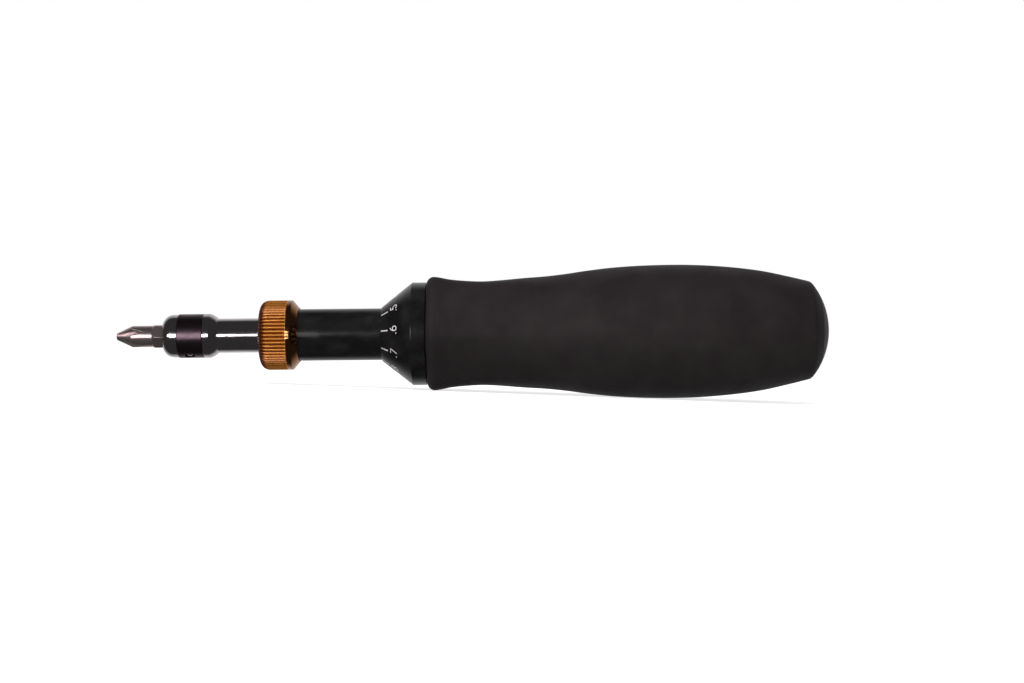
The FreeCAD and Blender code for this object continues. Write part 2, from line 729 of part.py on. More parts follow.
NODES = {
    "phillips_bit": phillips_bit,
    "output_shaft": output_shaft,
    "retaining_band": retaining_band,
    "retaining_ball": retaining_ball,
    "lock_ring": lock_ring,
    "lock_rollers": lock_rollers,
    "nose_circlip": nose_circlip,
    "barrel": barrel,
    "slide_washer": slide_washer,
    "guide_tube": guide_tube,
    "front_bush": lambda: bush(guide_front),
    "rear_bush": lambda: bush(flange_front - BUSH_LENGTH),
    "thrust_washer": thrust_washer,
    "thrust_cage": thrust_cage,
    "thrust_balls": thrust_balls,
    "cam_disc": cam_disc,
    "cam_pin": cam_pin,
    "clutch_plate": clutch_plate,
    "clutch_balls": clutch_balls,
    "main_spring": main_spring,
    "spring_seat": spring_seat,
    "seat_ball": seat_ball,
    "calibration_screw": calibration_screw,
    "rear_plug": rear_plug,
    "lock_nut": lock_nut,
    "handle_core": handle_core,
    "setting_nut": setting_nut,
    "scale_thimble": scale_thimble,
    "grip": grip,
    "end_cap": end_cap,
}

os.makedirs("parts", exist_ok=True)
for node, build in NODES.items():
    solid = build()
    solid.exportStep("parts/" + node + ".step")
    box = solid.BoundBox
    print(f"{node:18s} {len(solid.Solids)} solids {solid.Volume:9.1f} mm3 "
          f"x {box.XMin:7.2f} {box.XMax:7.2f}  valid {solid.isValid()}")
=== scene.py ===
"""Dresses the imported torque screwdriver: its finishes, engraved scales, rubber grip and studio.

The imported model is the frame. Its turned and ground pieces keep their shapes and get their
finishes here. The knurled ring and the rubber grip are built again as finer meshes, and the
paint-filled scales are added to the cone and the barrel.

Lengths are metres. +X runs along the tool from the bit towards the handle's end, and +Z is up.
Turns round the tool count in radians from -Y, the near side, towards -Z.
"""

import json
import logging
import math
from collections.abc import Callable, Sequence
from dataclasses import dataclass, field
from enum import Enum

import bmesh
import bpy
from mathutils import Matrix, Vector

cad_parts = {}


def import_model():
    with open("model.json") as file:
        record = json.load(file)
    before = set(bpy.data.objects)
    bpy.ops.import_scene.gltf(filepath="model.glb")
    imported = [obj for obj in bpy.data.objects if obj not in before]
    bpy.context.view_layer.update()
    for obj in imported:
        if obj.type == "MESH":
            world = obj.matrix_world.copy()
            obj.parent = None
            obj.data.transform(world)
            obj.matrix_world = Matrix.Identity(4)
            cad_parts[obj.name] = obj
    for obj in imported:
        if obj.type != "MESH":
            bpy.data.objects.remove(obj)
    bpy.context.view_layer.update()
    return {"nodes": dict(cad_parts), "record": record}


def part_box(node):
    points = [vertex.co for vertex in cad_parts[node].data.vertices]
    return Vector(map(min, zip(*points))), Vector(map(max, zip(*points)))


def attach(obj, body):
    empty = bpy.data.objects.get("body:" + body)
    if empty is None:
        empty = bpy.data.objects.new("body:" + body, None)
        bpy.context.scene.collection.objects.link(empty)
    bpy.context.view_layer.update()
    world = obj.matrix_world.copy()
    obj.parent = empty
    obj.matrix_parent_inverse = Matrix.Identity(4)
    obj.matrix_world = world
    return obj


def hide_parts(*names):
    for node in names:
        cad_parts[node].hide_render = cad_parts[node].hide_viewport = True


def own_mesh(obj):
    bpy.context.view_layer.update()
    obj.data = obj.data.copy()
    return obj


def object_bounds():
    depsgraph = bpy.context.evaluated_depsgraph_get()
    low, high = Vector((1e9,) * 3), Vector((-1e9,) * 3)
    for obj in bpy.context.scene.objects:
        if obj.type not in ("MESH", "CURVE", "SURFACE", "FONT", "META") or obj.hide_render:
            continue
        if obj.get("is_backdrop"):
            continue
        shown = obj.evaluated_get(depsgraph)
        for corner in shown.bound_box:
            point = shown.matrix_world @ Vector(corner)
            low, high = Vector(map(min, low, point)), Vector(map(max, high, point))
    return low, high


Point = tuple[float, float]
Colour = tuple[float, float, float]
Socket = bpy.types.NodeSocket

MM = 0.001
FULL_TURN = 2.0 * math.pi

log = logging.getLogger("torque_screwdriver")


class Body(Enum):
    """Moving bodies of the tool that added pieces ride on."""

    HANDLE = "handle"
    BARREL = "barrel"
    LOCK_RING = "lock_ring"


class Slot(Enum):
    """The record's material slots."""

    BIT_STEEL = "bit_steel"
    CHROME = "chrome"
    BLUED_STEEL = "blued_steel"
    HARDENED_STEEL = "hardened_steel"
    GOLD_ANODISED = "gold_anodised"
    BLACK_ANODISED = "black_anodised"
    BRONZE = "bronze"
    BRASS = "brass"
    SPRING_STEEL = "spring_steel"
    PLAIN_ALUMINIUM = "plain_aluminium"
    GRIP_RUBBER = "grip_rubber"
    CAP_PLASTIC = "cap_plastic"


# ---------------------------------------------------------------- shader nodes


class ShaderGraph:
    """A material's node tree, with short ways to add and link its nodes."""

    def __init__(self, name: str) -> None:
        """Starts a material that holds one Principled shader.

        Args:
            name: The material's name.
        """
        self.material = bpy.data.materials.new(name)
        self.material.use_nodes = True
        self.nodes = self.material.node_tree.nodes
        self.links = self.material.node_tree.links
        self.shader = self.nodes["Principled BSDF"]
        self.place = self.add("ShaderNodeTexCoord").outputs["Object"]

    def add(
        self, kind: str, inputs: dict[str, object] | None = None, **settings: object
    ) -> bpy.types.Node:
        """Adds a node.

        Args:
            kind: Blender's name for the node's type.
            inputs: Values or sockets for its inputs, by input name.
            **settings: Properties of the node itself.

        Returns:
            The new node.
        """
        node = self.nodes.new(kind)
        for key, value in settings.items():
            setattr(node, key, value)
        for key, value in (inputs or {}).items():
            self.feed(node, key, value)
        return node

    def feed(self, node: bpy.types.Node, key: str | int, value: object) -> None:
        """Gives an input a value, or links a socket to it.

        Args:
            node: The node that takes the value.
            key: The input's name or number.
            value: A number, a colour or another node's output socket.
        """
        if isinstance(value, bpy.types.NodeSocket):
            self.links.new(value, node.inputs[key])
        else:
            node.inputs[key].default_value = value

    def surface(self, **values: object) -> None:
        """Sets the Principled shader's inputs.

        Args:
            **values: Values or sockets by input name, with underscores for spaces.
        """
        for key, value in values.items():
            if isinstance(value, tuple) and len(value) == 3:
                value = (*value, 1.0)
            self.feed(self.shader, key.replace("_", " "), value)

    def noise(self, size: float, stretch: Colour = (1.0, 1.0, 1.0), detail: float = 3.0) -> Socket:
        """Adds a noise pattern.

        Args:
            size: Width of its patches along an axis that isn't stretched.
            stretch: How many times longer the patches are along X, Y and Z.
            detail: Levels of finer noise.

        Returns:
            The pattern's value, about 0 to 1.
        """
        scale = tuple(1.0 / share for share in stretch)
        mapping = self.add("ShaderNodeMapping", {"Vector": self.place, "Scale": scale})
        node = self.add(
            "ShaderNodeTexNoise",
            {"Vector": mapping.outputs["Vector"], "Scale": 1.0 / size, "Detail": detail},
        )
        return node.outputs["Fac"]

    def cells(self, size: float) -> Socket:
        """Returns the distance from the nearest of many scattered points, in cell widths."""
        node = self.add("ShaderNodeTexVoronoi", {"Vector": self.place, "Scale": 1.0 / size})
        return node.outputs["Distance"]

    def remap(self, value: Socket, source: Point, target: Point) -> Socket:
        """Carries a value from one range to another, and holds it inside.

        Args:
            value: The value to carry over.
            source: Where the value's range starts and ends.
            target: Where the result's range starts and ends.

        Returns:
            The result.
        """
        node = self.add(
            "ShaderNodeMapRange",
            {
                "Value": value,
                "From Min": source[0],
                "From Max": source[1],
                "To Min": target[0],
                "To Max": target[1],
            },
        )
        return node.outputs["Result"]

    def blend(self, share: Socket, first: Colour | Socket, second: Colour | Socket) -> Socket:
        """Blends two colours.

        Args:
            share: 0 for the first colour, 1 for the second.
            first: A colour, or a socket that gives one.
            second: A colour, or a socket that gives one.

        Returns:
            The blended colour.
        """
        node = self.add("ShaderNodeMix", data_type="RGBA")
        self.feed(node, 0, share)
        for key, colour in ((6, first), (7, second)):
            self.feed(node, key, (*colour, 1.0) if isinstance(colour, tuple) else colour)
        return node.outputs[2]

    def calc(self, operation: str, first: Socket | float, second: Socket | float) -> Socket:
        """Adds one of Blender's Math operations.

        Args:
            operation: Blender's name for the operation.
            first: A number or a socket.
            second: A number or a socket.

        Returns:
            The operation's result.
        """
        node = self.add("ShaderNodeMath", operation=operation)
        self.feed(node, 0, first)
        self.feed(node, 1, second)
        return node.outputs[0]

    def along(self) -> Socket:
        """Returns the place along the tool's axis."""
        return self.add("ShaderNodeSeparateXYZ", {"Vector": self.place}).outputs["X"]

    def radius(self) -> Socket:
        """Measures out from the tool's axis.

        Returns:
            The distance from the axis.
        """
        across = self.add("ShaderNodeVectorMath", operation="MULTIPLY")
        self.feed(across, 0, self.place)
        self.feed(across, 1, (0.0, 1.0, 1.0))
        length = self.add("ShaderNodeVectorMath", operation="LENGTH")
        self.feed(length, 0, across.outputs[0])
        return length.outputs["Value"]

    def relief(self, height: Socket, depth: float, normal: Socket | None = None) -> Socket:
        """Turns a height pattern into relief.

        Args:
            height: The pattern, 0 low to 1 high.
            depth: How far apart low and high lie.
            normal: Relief that this one lies on.

        Returns:
            The surface's new normal.
        """
        inputs: dict[str, object] = {"Height": height, "Distance": depth, "Strength": 1.0}
        if normal is not None:
            inputs["Normal"] = normal
        return self.add("ShaderNodeBump", inputs).outputs["Normal"]

    def soft_edges(self, reach: float) -> Socket:
        """Returns a normal that rounds sharp edges over a short reach."""
        node = self.add("ShaderNodeBevel", {"Radius": reach}, samples=6)
        return node.outputs["Normal"]


# ---------------------------------------------------------------- finishes


@dataclass(frozen=True)
class Finish:
    """A surface finish, which its subclasses lay out as shader nodes."""

    name: str
    colour: Colour
    roughness: float

    def lay_out(self, graph: ShaderGraph) -> None:
        """Lays the finish out in a material's node tree.

        Args:
            graph: The node tree to fill.
        """
        raise NotImplementedError

    def material(self) -> bpy.types.Material:
        """Gives the finish's material, which is made on the first call.

        Returns:
            The material.
        """
        found = bpy.data.materials.get(self.name)
        if found is None:
            graph = ShaderGraph(self.name)
            self.lay_out(graph)
            found = graph.material
        return found


@dataclass(frozen=True)
class TurnedMetal(Finish):
    """Bare or plated metal from the lathe, with fine rings round the axis."""

    ring_pitch: float = 0.12 * MM
    ring_depth: float = 0.0006 * MM
    tint: Colour = (0.5, 0.5, 0.5)
    spread: float = 0.06
    edge: float = 0.12 * MM

    def lay_out(self, graph: ShaderGraph) -> None:
        """Adds turned rings, faint smears and softened edges.

        Args:
            graph: The node tree to fill.
        """
        rings = graph.noise(self.ring_pitch, (1.0, 400.0, 400.0), 2.0)
        smears = graph.noise(3.0 * MM)
        roughness = graph.remap(
            smears, (0.35, 0.7), (self.roughness, self.roughness + self.spread)
        )
        tone = graph.remap(smears, (0.3, 0.8), (0.0, 1.0))
        graph.surface(
            Base_Color=graph.blend(tone, self.colour, self.tint),
            Metallic=1.0,
            Roughness=roughness,
            Normal=graph.relief(rings, self.ring_depth, graph.soft_edges(self.edge)),
        )


@dataclass(frozen=True)
class BitSteel(Finish):
    """Phosphated tool steel, its pinkish cast a painted reflection of skin, rubbed brighter where
    it is ground.
    """

    rubbed: Colour = (0.72, 0.60, 0.60)
    grain: float = 0.09 * MM
    depth: float = 0.003 * MM

    def lay_out(self, graph: ShaderGraph) -> None:
        """Adds blasted grain, cloudy tone and softened edges.

        Args:
            graph: The node tree to fill.
        """
        clouds = graph.noise(1.6 * MM, detail=4.0)
        grain = graph.noise(self.grain, detail=1.0)
        tone = graph.remap(clouds, (0.35, 0.7), (0.0, 1.0))
        graph.surface(
            Base_Color=graph.blend(tone, self.colour, self.rubbed),
            Metallic=0.95,
            Roughness=graph.remap(clouds, (0.3, 0.7), (self.roughness + 0.08, self.roughness)),
            Normal=graph.relief(grain, self.depth, graph.soft_edges(0.15 * MM)),
        )


@dataclass(frozen=True)
class GoldAnodised(Finish):
    """Gold dye under a clear oxide layer, with painted shade in the grooves and a painted
    highlight, patchy like rubbing, on the crests.
    """

    # groove is painted shade for the bottoms of the ridges, crest a painted highlight for their
    # tops.
    groove: Colour = (0.13, 0.026, 0.002)
    crest: Colour = (1.0, 0.52, 0.11)
    polished: Colour = (0.40, 0.17, 0.06)
    groove_radius: float = 9.78 * MM
    crest_radius: float = 10.15 * MM
    ridges_end: float = 36.5 * MM

    def lay_out(self, graph: ShaderGraph) -> None:
        """Adds painted shade and painted highlight by depth in the ridges, dye clouds and a
        polished rear edge.

        Args:
            graph: The node tree to fill.
        """
        rise = graph.remap(graph.radius(), (self.groove_radius, self.crest_radius), (0.0, 1.0))
        clouds = graph.noise(1.1 * MM, detail=4.0)
        # Painted shade: the dye colour darkens towards the bottoms of the grooves.
        dyed = graph.blend(rise, self.groove, self.colour)
        # Painted highlight on the outer crests, broken into patches by noise like rubbed wear.
        worn = graph.calc("MULTIPLY", graph.remap(rise, (0.86, 1.0), (0.0, 1.0)), clouds)
        edge = (self.ridges_end, self.ridges_end + 0.15 * MM)
        smooth = graph.remap(graph.along(), edge, (0.0, 1.0))
        cloudy = graph.remap(clouds, (0.3, 0.7), (self.roughness, self.roughness + 0.08))
        marks = graph.noise(0.2 * MM, (1.0, 60.0, 60.0), 1.0)
        graph.surface(
            Base_Color=graph.blend(smooth, graph.blend(worn, dyed, self.crest), self.polished),
            Metallic=graph.remap(smooth, (0.0, 1.0), (0.6, 1.0)),
            Roughness=graph.calc("MULTIPLY", cloudy, graph.remap(smooth, (0.0, 1.0), (1.0, 0.45))),
            Coat_Weight=0.25,
            Coat_Roughness=0.12,
            Normal=graph.relief(marks, 0.0003 * MM),
        )


@dataclass(frozen=True)
class BlackAnodised(Finish):
    """Black dyed aluminium, satin, with fine turned rings under the dye."""

    rubbed: Colour = (0.020, 0.019, 0.020)

    def lay_out(self, graph: ShaderGraph) -> None:
        """Adds turned rings, handling smears and softened edges.

        Args:
            graph: The node tree to fill.
        """
        rings = graph.noise(0.16 * MM, (1.0, 400.0, 400.0), 2.0)
        smears = graph.noise(4.0 * MM, (1.6, 1.0, 1.0), 4.0)
        tone = graph.remap(smears, (0.4, 0.75), (0.0, 1.0))
        graph.surface(
            Base_Color=graph.blend(tone, self.colour, self.rubbed),
            Roughness=graph.remap(smears, (0.35, 0.7), (self.roughness, self.roughness + 0.08)),
            Specular_IOR_Level=0.55,
            Normal=graph.relief(rings, 0.0007 * MM, graph.soft_edges(0.2 * MM)),
        )


@dataclass(frozen=True)
class GripRubber(Finish):
    """Moulded rubber with a spark-eroded grain and a little dust."""

    dust: Colour = (0.085, 0.075, 0.078)
    worn: Colour = (0.026, 0.020, 0.021)

    def lay_out(self, graph: ShaderGraph) -> None:
        """Adds mould grain, rubbed patches and dust specks.

        Args:
            graph: The node tree to fill.
        """
        patches = graph.noise(9.0 * MM, detail=4.0)
        grain = graph.noise(0.32 * MM, detail=3.0)
        specks = graph.remap(graph.cells(0.85 * MM), (0.05, 0.11), (1.0, 0.0))
        scattered = graph.calc(
            "MULTIPLY", specks, graph.remap(graph.noise(2.6 * MM), (0.52, 0.62), (0.0, 0.7))
        )
        rubber = graph.blend(graph.remap(patches, (0.35, 0.7), (0.0, 1.0)), self.colour, self.worn)
        graph.surface(
            Base_Color=graph.blend(scattered, rubber, self.dust),
            Roughness=graph.remap(patches, (0.3, 0.7), (self.roughness + 0.08, self.roughness)),
            Specular_IOR_Level=0.38,
            Sheen_Weight=0.02,
            Sheen_Roughness=0.5,
            Normal=graph.relief(grain, 0.020 * MM),
        )


@dataclass(frozen=True)
class MouldedPlastic(Finish):
    """Hard moulded plastic with a fine grain."""

    def lay_out(self, graph: ShaderGraph) -> None:
        """Adds mould grain and a faint change of sheen.

        Args:
            graph: The node tree to fill.
        """
        grain = graph.noise(0.22 * MM, detail=2.0)
        patches = graph.noise(5.0 * MM)
        lighter = tuple(1.5 * part for part in self.colour)
        graph.surface(
            Base_Color=graph.blend(patches, self.colour, lighter),
            Roughness=graph.remap(patches, (0.3, 0.7), (self.roughness, self.roughness + 0.1)),
            Normal=graph.relief(grain, 0.008 * MM, graph.soft_edges(0.2 * MM)),
        )


@dataclass(frozen=True)
class ScalePaint(Finish):
    """White paint wiped into engraved lines."""

    thin: Colour = (0.62, 0.58, 0.58)

    def lay_out(self, graph: ShaderGraph) -> None:
        """Adds thin and thick spots of paint.

        Args:
            graph: The node tree to fill.
        """
        spots = graph.noise(0.25 * MM, detail=3.0)
        tone = graph.remap(spots, (0.4, 0.7), (0.0, 1.0))
        graph.surface(
            Base_Color=graph.blend(tone, self.colour, self.thin),
            Roughness=graph.remap(spots, (0.3, 0.7), (self.roughness, self.roughness + 0.15)),
            Normal=graph.relief(spots, 0.010 * MM),
        )


FINISHES: dict[Slot, Finish] = {
    # The bit steel's pinkish colours are a painted reflection of skin.
    Slot.BIT_STEEL: BitSteel("phosphated_bit_steel", (0.62, 0.49, 0.50), 0.28),
    # The chrome's pinkish colour and tint are a painted warm reflection.
    Slot.CHROME: TurnedMetal("bright_chrome", (0.80, 0.75, 0.76), 0.09, tint=(0.70, 0.64, 0.65)),
    Slot.BLUED_STEEL: TurnedMetal(
        "blued_turned_steel", (0.15, 0.10, 0.12), 0.33, ring_pitch=0.2 * MM,
        ring_depth=0.006 * MM, tint=(0.12, 0.08, 0.10)),
    Slot.HARDENED_STEEL: TurnedMetal(
        "ground_steel", (0.58, 0.57, 0.56), 0.2, tint=(0.5, 0.49, 0.48)),
    Slot.GOLD_ANODISED: GoldAnodised("gold_anodised_aluminium", (0.84, 0.27, 0.030), 0.26),
    Slot.BLACK_ANODISED: BlackAnodised("satin_black_aluminium", (0.0075, 0.0073, 0.0075), 0.13),
    Slot.BRONZE: TurnedMetal("bearing_bronze", (0.55, 0.32, 0.13), 0.3, tint=(0.45, 0.27, 0.12)),
    Slot.BRASS: TurnedMetal("turned_brass", (0.68, 0.50, 0.18), 0.25, tint=(0.6, 0.42, 0.14)),
    Slot.SPRING_STEEL: TurnedMetal(
        "peened_spring_steel", (0.34, 0.34, 0.35), 0.36, tint=(0.28, 0.28, 0.3)),
    Slot.PLAIN_ALUMINIUM: TurnedMetal(
        "turned_aluminium", (0.72, 0.72, 0.73), 0.26, tint=(0.62, 0.62, 0.63)),
    Slot.GRIP_RUBBER: GripRubber("grip_rubber_moulded", (0.0185, 0.0130, 0.0142), 0.62),
    Slot.CAP_PLASTIC: MouldedPlastic("cap_plastic_moulded", (0.016, 0.013, 0.014), 0.45),
}
SCALE_PAINT = ScalePaint("white_scale_paint", (0.86, 0.82, 0.82), 0.5)


# ---------------------------------------------------------------- meshes


def around(x: float, radius: float, turn: float) -> Vector:
    """Returns the point at a place along the axis, a radius and a turn."""
    return Vector((x, -radius * math.cos(turn), -radius * math.sin(turn)))


def arc(centre: Point, radii: Point, start: float, end: float, count: int) -> list[Point]:
    """Points along an arc of an ellipse.

    Args:
        centre: The ellipse's centre.
        radii: Its half width and half height.
        start: Angle of the first point, in degrees.
        end: Angle of the last point, in degrees.
        count: How many steps the arc takes.

    Returns:
        The points, the first and the last included.
    """
    angles = [math.radians(start + (end - start) * i / count) for i in range(count + 1)]
    return [
        (centre[0] + radii[0] * math.cos(a), centre[1] + radii[1] * math.sin(a)) for a in angles
    ]


@dataclass(frozen=True)
class Profile:
    """Values that change smoothly along the axis, given at a few stations."""

    stations: Sequence[tuple[float, ...]]

    def slope(self, index: int) -> tuple[float, ...]:
        """Finds how fast each value changes at a station.

        Args:
            index: The station's number.

        Returns:
            Each value's change over the distance along the axis.
        """
        before = self.stations[max(index - 1, 0)]
        after = self.stations[min(index + 1, len(self.stations) - 1)]
        run = after[0] - before[0]
        return tuple((b - a) / run for a, b in zip(before[1:], after[1:]))

    def at(self, place: float) -> tuple[float, ...]:
        """Finds the values at one place.

        Args:
            place: The place along the axis.

        Returns:
            The values there.
        """
        last = len(self.stations) - 2
        index = max(0, min(last, sum(1 for s in self.stations[1:] if s[0] <= place)))
        low, high = self.stations[index], self.stations[index + 1]
        run = high[0] - low[0]
        t = min(1.0, max(0.0, (place - low[0]) / run))
        slopes = zip(self.slope(index), self.slope(index + 1))
        return tuple(
            (1 + 2 * t) * (1 - t) ** 2 * a + t * (1 - t) ** 2 * run * sa
            + t * t * (3 - 2 * t) * b - t * t * (1 - t) * run * sb
            for a, b, (sa, sb) in zip(low[1:], high[1:], slopes)
        )


class Skin:
    """Points and faces gathered for one mesh object."""

    def __init__(self) -> None:
        """Starts with nothing."""
        self.points: list[Vector] = []
        self.faces: list[tuple[int, ...]] = []

    def loops(self, rings: Sequence[Sequence[Vector]], joined: bool) -> None:
        """Skins a row of rings that hold equally many points.

        Args:
            rings: The rings, in order.
            joined: True to join the last ring to the first, False to close both with a face.
        """
        first = len(self.points)
        size = len(rings[0])
        for ring in rings:
            self.points.extend(ring)
        pairs = len(rings) if joined else len(rings) - 1
        for row in range(pairs):
            here = first + row * size
            there = first + (row + 1) % len(rings) * size
            for i in range(size):
                j = (i + 1) % size
                self.faces.append((here + i, here + j, there + j, there + i))
        if not joined:
            self.faces.append(tuple(first + i for i in reversed(range(size))))
            self.faces.append(tuple(first + (len(rings) - 1) * size + i for i in range(size)))

    def piece(self, name: str, finish: Finish, sharp: float = 40.0) -> bpy.types.Object:
        """Makes the object.

        Args:
            name: The object's name.
            finish: Its finish.
            sharp: Edges that turn by more than this many degrees stay sharp.

        Returns:
            The object, linked into the scene.
        """
        mesh = bpy.data.meshes.new(name)
        mesh.from_pydata(self.points, [], self.faces)
        work = bmesh.new()
        work.from_mesh(mesh)
        bmesh.ops.recalc_face_normals(work, faces=work.faces)
        work.to_mesh(mesh)
        work.free()
        mesh.shade_smooth()
        mesh.set_sharp_from_angle(angle=math.radians(sharp))
        mesh.materials.append(finish.material())
        made = bpy.data.objects.new(name, mesh)
        bpy.context.scene.collection.objects.link(made)
        return made


def settle(piece: bpy.types.Object, body: Body, slot: Slot | None, *nodes: str) -> None:
    """Fixes a piece to its body and hides the solids that it stands for.

    Args:
        piece: The new piece.
        body: The body it rides on.
        slot: The record's slot of its finish, where it has one; not used.
        *nodes: The solids that it replaces.
    """
    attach(piece, body.value)
    if nodes:
        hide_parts(*nodes)
    log.info("%s: %d faces on %s", piece.name, len(piece.data.polygons), body.value)


# ---------------------------------------------------------------- the tool's pieces


@dataclass
class SolidPieces:
    """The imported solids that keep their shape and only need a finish."""

    nodes: dict[str, bpy.types.Object]
    record: dict

    def dress(self) -> None:
        """Gives every solid the finish of its slot in the record."""
        for part in self.record["subparts"]:
            slot = Slot(part["material_slot"])
            solid = self.nodes[part["node"]]
            material = FINISHES[slot].material()
            for place in solid.material_slots:
                place.material = material
            log.info("%s: %s", solid.name, material.name)


@dataclass
class LockingRing:
    """Knurled ring in front of the barrel, with a domed front and a bevel behind."""

    ridges: int = 57
    samples: int = 12
    depth: float = 0.45 * MM
    dome: float = 2.6 * MM
    band: float = 1.4 * MM
    run_out: float = 0.22 * MM
    bevel: float = 1.9 * MM
    bevel_drop: float = 2.35 * MM
    edge: float = 0.12 * MM
    recess_radius: float = 8.0 * MM
    recess_back: float = 2.5 * MM
    bore_radius: float = 7.03 * MM
    seat_radius: float = 7.7 * MM
    seat_depth: float = 0.5 * MM

    def ring(self, x: float, radius: float, share: float) -> list[Vector]:
        """Points round the ring at one place.

        Args:
            x: Place along the axis.
            radius: Radius of the crests.
            share: How deep the grooves are there, 0 for smooth to 1 for full.

        Returns:
            The points.
        """
        count = self.ridges * self.samples
        points = []
        for i in range(count):
            crest = abs(2.0 * (i % self.samples) / self.samples - 1.0)
            groove = self.depth * share * (1.0 - crest) ** 1.7
            turn = FULL_TURN * i / count
            points.append(around(x, max(radius - groove, self.recess_radius), turn))
        return points

    def dome_start(self, radius: float) -> float:
        """Returns the turn of the dome's arc at which it leaves the recess."""
        return math.asin((self.recess_radius - (radius - self.dome)) / self.dome)

    def outline(self, front: float, back: float, radius: float) -> list[tuple[float, float, float]]:
        """Lists the outside from the front edge to the rear one.

        Args:
            front: The ring's front.
            back: The ring's back.
            radius: Radius of the crests.

        Returns:
            Place, radius and groove share of each row.
        """
        low = radius - self.dome
        start = math.degrees(self.dome_start(radius))
        centre = (front + self.dome, low)
        rows = [(x, r, 1.0) for x, r in arc(centre, (-self.dome, self.dome), start, 90.0, 14)]
        ridge_end = back - self.bevel - self.band
        rows += [(ridge_end - 1.5 * self.run_out, radius, 1.0)]
        for share in (0.25, 0.6, 1.0):
            rows.append((ridge_end - self.run_out * (1 - share), radius, 1.0 - share ** 2))
        shoulder = back - self.bevel
        rows += [
            (shoulder - self.edge, radius, 0.0),
            (shoulder - 0.35 * self.edge, radius - 0.1 * self.edge, 0.0),
        ]
        slope = self.bevel_drop / self.bevel
        rows += [(shoulder + 0.6 * self.edge, radius - 0.75 * self.edge * slope, 0.0)]
        rows += [(back - self.edge, radius - self.bevel_drop + self.edge * slope, 0.0)]
        rows += [(back, radius - self.bevel_drop, 0.0)]
        return rows

    def build(self) -> bpy.types.Object:
        """Builds the ring over its solid's box.

        Returns:
            The ring.
        """
        low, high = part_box("lock_ring")
        radius = high.z
        back = high.x
        front = low.x - self.dome * (1.0 - math.cos(self.dome_start(radius)))
        rings = [self.ring(x, r, share) for x, r, share in self.outline(front, back, radius)]
        count = self.ridges * self.samples
        for x, r in (
            (back, self.seat_radius),
            (back - self.seat_depth, self.seat_radius),
            (back - self.seat_depth, self.bore_radius),
            (front + self.recess_back, self.bore_radius),
            (front + self.recess_back, self.recess_radius),
        ):
            rings.append([around(x, r, FULL_TURN * i / count) for i in range(count)])
        skin = Skin()
        skin.loops(rings, joined=True)
        made = skin.piece("knurled_ring", FINISHES[Slot.GOLD_ANODISED], sharp=50.0)
        settle(made, Body.LOCK_RING, Slot.GOLD_ANODISED, "lock_ring")
        return made


